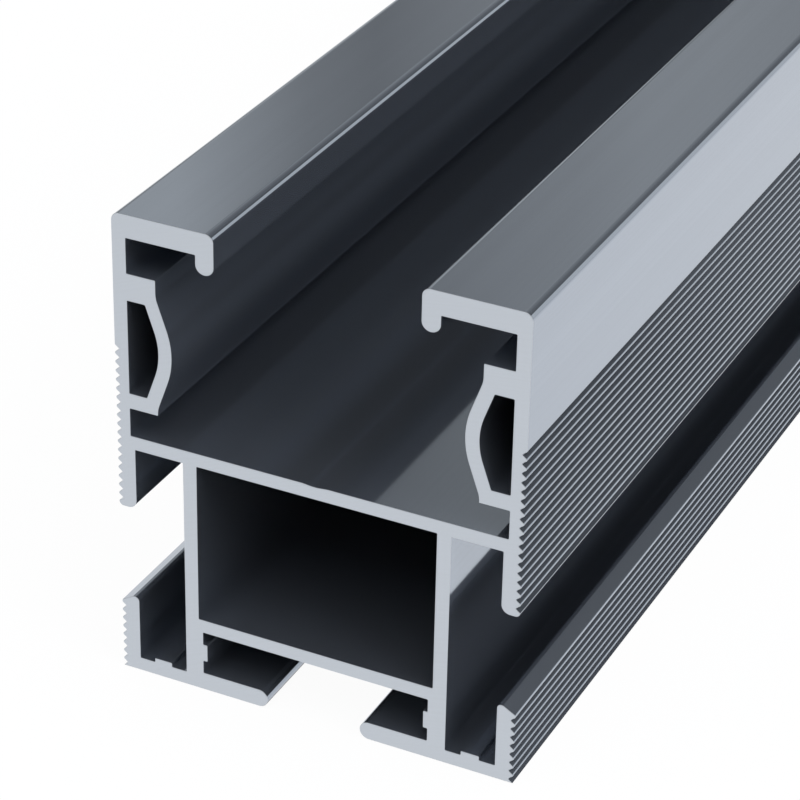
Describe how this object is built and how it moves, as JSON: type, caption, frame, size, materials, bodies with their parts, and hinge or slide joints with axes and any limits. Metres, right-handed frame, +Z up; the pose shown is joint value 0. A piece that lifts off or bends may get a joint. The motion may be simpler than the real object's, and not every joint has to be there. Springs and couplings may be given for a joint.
{
  "type": "solar mounting rail",
  "caption": "Extruded aluminium mounting rail for solar modules, with a top clamp channel, a hollow box, a bolt slot below and serrated outer faces for side clamps.",
  "frame": {"origin": "middle of the plane that the base stands on, half-way along the rail", "axes": "+X across the rail, +Y along it, +Z up from the base to the module flanges"},
  "size_m": [0.06, 1.2, 0.071],
  "materials": {
    "mill_aluminium": "mill finish with fine die lines along the rail, sawn ends"
  },
  "bodies": {
    "root": {"rail": "mill_aluminium"}
  },
  "joints": []
}
